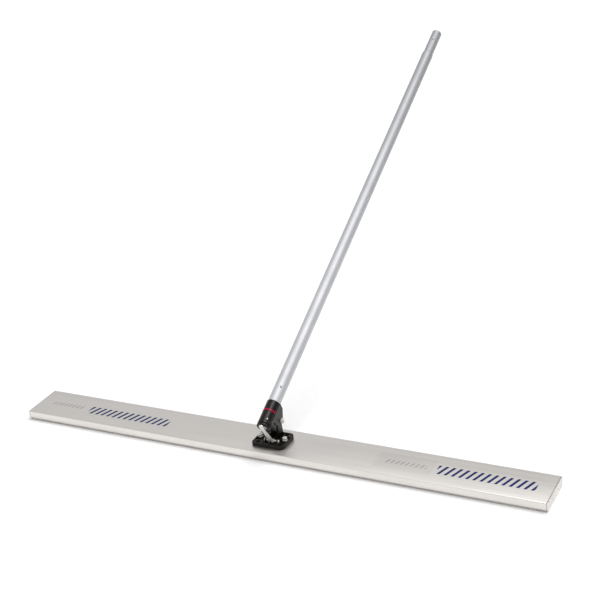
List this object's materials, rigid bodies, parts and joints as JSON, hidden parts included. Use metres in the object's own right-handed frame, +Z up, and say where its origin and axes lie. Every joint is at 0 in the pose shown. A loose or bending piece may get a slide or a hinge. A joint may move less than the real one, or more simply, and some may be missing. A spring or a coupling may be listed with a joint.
{
  "type": "hand screed",
  "caption": "Long hollow aluminium screed blade with a cast tilting head and a tube handle; twisting the handle tilts the blade for striking off and floating concrete.",
  "frame": {"origin": "centre of the blade's flat sole", "axes": "+X along the blade to its right end, +Y from the blade towards the raised end of the handle, +Z up from the sole"},
  "size_m": [2, 1.832, 1.0753],
  "materials": {
    "blade_aluminium": "satin mill finish, fine lengthwise extrusion lines",
    "tube_aluminium": "satin drawn tube",
    "black_casting": "glossy black powder coat over a casting",
    "zinc_steel": "bright zinc plate",
    "button_metal": "dull steel",
    "red_trim": "glossy crimson",
    "bronze_bush": "oiled sintered bronze",
    "brake_polymer": "matt dark polymer"
  },
  "bodies": {
    "blade": {"blade_profile": "blade_aluminium", "end_cap_left": "blade_aluminium", "end_cap_right": "blade_aluminium", "cap_screw_left_front": "zinc_steel", "cap_screw_left_rear": "zinc_steel", "cap_screw_right_front": "zinc_steel", "cap_screw_right_rear": "zinc_steel", "tilt_base": "black_casting", "base_bolt_left": "zinc_steel", "base_bolt_right": "zinc_steel", "nut_plate": "zinc_steel", "pivot_bolt": "zinc_steel", "pivot_washer_left": "zinc_steel", "pivot_washer_right": "zinc_steel", "pivot_sleeve": "zinc_steel", "pivot_nut": "zinc_steel", "link_pin": "zinc_steel", "link_pin_nut": "zinc_steel"},
    "housing": {"head_housing": "black_casting", "red_band": "red_trim", "lower_bush": "bronze_bush", "upper_bush": "bronze_bush", "bush_set_screw": "zinc_steel", "pivot_bush_left": "bronze_bush", "pivot_bush_right": "bronze_bush", "friction_cap": "black_casting", "friction_shoe": "brake_polymer", "brake_spring_washer": "zinc_steel"},
    "handle": {"spindle": "zinc_steel", "thrust_washer": "zinc_steel", "crank_disc": "black_casting", "crank_screw": "zinc_steel", "handle_tube": "tube_aluminium", "lower_button_spring": "zinc_steel", "upper_button_spring": "zinc_steel"},
    "lower_button": {"lower_snap_button": "button_metal"},
    "upper_button": {"upper_snap_button": "button_metal"},
    "link": {"link_strap": "zinc_steel", "crank_pin": "zinc_steel"}
  },
  "joints": [
    {"name": "tilt", "type": "hinge", "parent": "blade", "child": "housing", "pos_m": [0, 0.019, 0.11], "axis": [1, 0, 0], "range_deg": [-22.81, 0]},
    {"name": "twist", "type": "hinge", "parent": "housing", "child": "handle", "pos_m": [0, -0.00632, 0.15905], "axis": [0, 0.8886, 0.4586], "range_deg": [0, 180]},
    {"name": "link_swing", "type": "hinge", "parent": "blade", "child": "link", "pos_m": [0, -0.02, 0.0485], "axis": [1, 0, 0], "range_deg": [-12.2, 0]},
    {"name": "lower_button_press", "type": "slide", "parent": "handle", "child": "lower_button", "axis": [-0.4695, 0.405, -0.7846], "range_m": [0, 0.0036], "stiffness_N_per_m": 800, "springref_m": -0.002},
    {"name": "upper_button_press", "type": "slide", "parent": "handle", "child": "upper_button", "axis": [-0.2588, 0.443, -0.8583], "range_m": [0, 0.0036], "stiffness_N_per_m": 800, "springref_m": -0.002}
  ],
  "couplings": [
    {"joint": "twist", "follows": "tilt", "ratio": -7.89},
    {"joint": "link_swing", "follows": "tilt", "ratio": 0.5325}
  ]
}
